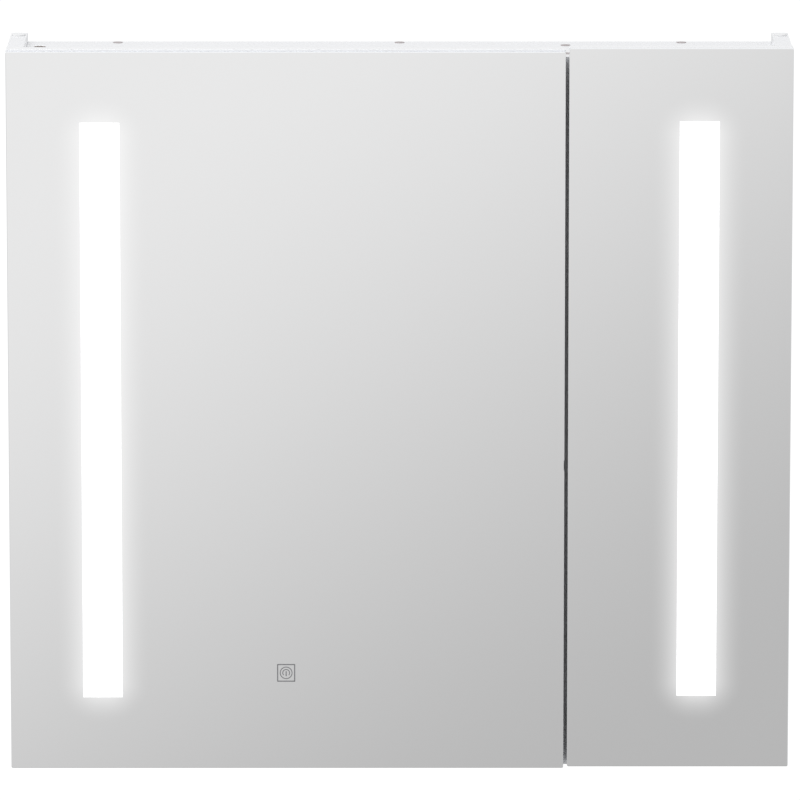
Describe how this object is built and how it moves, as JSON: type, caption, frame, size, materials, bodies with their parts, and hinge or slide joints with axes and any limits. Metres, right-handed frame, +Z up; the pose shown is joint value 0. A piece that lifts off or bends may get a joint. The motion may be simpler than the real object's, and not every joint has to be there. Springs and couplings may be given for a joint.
{
  "type": "mirror cabinet",
  "caption": "Wall-hung bathroom mirror cabinet: white board case, unequal mirrored doors on concealed hinges, lit frosted strips, glass shelves, touch switch.",
  "frame": {"origin": "centre of the four wall fixing holes, on the wall plane, at mid-width and mid-height of the right door", "axes": "+X to the viewer's right, +Y into the wall (the doors face -Y), +Z up"},
  "size_m": [0.75, 0.13, 0.7042],
  "materials": {
    "white_board": "gloss lacquer",
    "mirror": "polished",
    "lit_window": "frosted and lit",
    "shelf_glass": "polished edges",
    "nickel_steel": "nickel plated",
    "zinc": "zinc plated",
    "aluminium": "satin",
    "white_plastic": "fine satin",
    "taupe_plastic": "satin",
    "soft_grey": "translucent soft",
    "beech": "raw",
    "circuit_green": "satin",
    "led_board": "satin",
    "sensor_dark": "satin"
  },
  "bodies": {
    "cabinet": {"side_panel_left": "white_board", "side_panel_right": "white_board", "top_panel": "white_board", "bottom_panel": "white_board", "divider_panel": "white_board", "back_panel": "white_board", "wall_rail_upper": "white_board", "wall_rail_lower": "white_board", "bottom_lip": "white_board", "shelf_left_upper": "shelf_glass", "shelf_left_lower": "shelf_glass", "shelf_right_upper": "shelf_glass", "shelf_right_lower": "shelf_glass", "hinge_plates_left": "nickel_steel", "hinge_plates_right": "nickel_steel", "hinge_arms_left": "nickel_steel", "hinge_arms_right": "nickel_steel", "hinge_adjusters": "nickel_steel", "hinge_pivots": "nickel_steel", "shelf_pins_left": "nickel_steel", "shelf_pins_right": "nickel_steel", "cam_locks": "zinc", "cam_bolts": "zinc", "back_panel_screws": "zinc", "driver_screws": "zinc", "hinge_plate_screws": "zinc", "side_top_caps": "white_plastic", "driver_case": "white_plastic", "driver_cover": "white_plastic", "panel_screws": "taupe_plastic", "door_bumpers": "soft_grey", "corner_dowels": "beech", "driver_board": "circuit_green"},
    "left_door": {"door_board_left": "white_board", "mirror_left": "mirror", "light_window_left": "lit_window", "light_channel_left": "aluminium", "led_strip_left": "led_board", "light_cover_left": "white_plastic", "light_cover_screws_left": "zinc", "hinge_cups_left": "nickel_steel", "hinge_cup_screws_left": "zinc", "touch_sensor": "sensor_dark", "touch_cover": "white_plastic"},
    "right_door": {"door_board_right": "white_board", "mirror_right": "mirror", "light_window_right": "lit_window", "light_channel_right": "aluminium", "led_strip_right": "led_board", "light_cover_right": "white_plastic", "light_cover_screws_right": "zinc", "hinge_cups_right": "nickel_steel", "hinge_cup_screws_right": "zinc"},
    "left_links": {"hinge_links_left": "nickel_steel"},
    "right_links": {"hinge_links_right": "nickel_steel"}
  },
  "joints": [
    {"name": "left_door_hinge", "type": "hinge", "parent": "left_links", "child": "left_door", "pos_m": [-0.364, -0.115, 0], "axis": [0, 0, -1], "range_deg": [0, 129]},
    {"name": "right_door_hinge", "type": "hinge", "parent": "right_links", "child": "right_door", "pos_m": [0.364, -0.115, 0], "axis": [0, 0, 1], "range_deg": [0, 129]},
    {"name": "left_link_pivot", "type": "hinge", "parent": "cabinet", "child": "left_links", "pos_m": [-0.3416, -0.1041, 0], "axis": [0, 0, 1], "range_deg": [0, 24.05]},
    {"name": "right_link_pivot", "type": "hinge", "parent": "cabinet", "child": "right_links", "pos_m": [0.3416, -0.1041, 0], "axis": [0, 0, -1], "range_deg": [0, 24.05]}
  ],
  "couplings": [
    {"joint": "left_link_pivot", "follows": "left_door_hinge", "ratio": 0.186},
    {"joint": "right_link_pivot", "follows": "right_door_hinge", "ratio": 0.186}
  ]
}
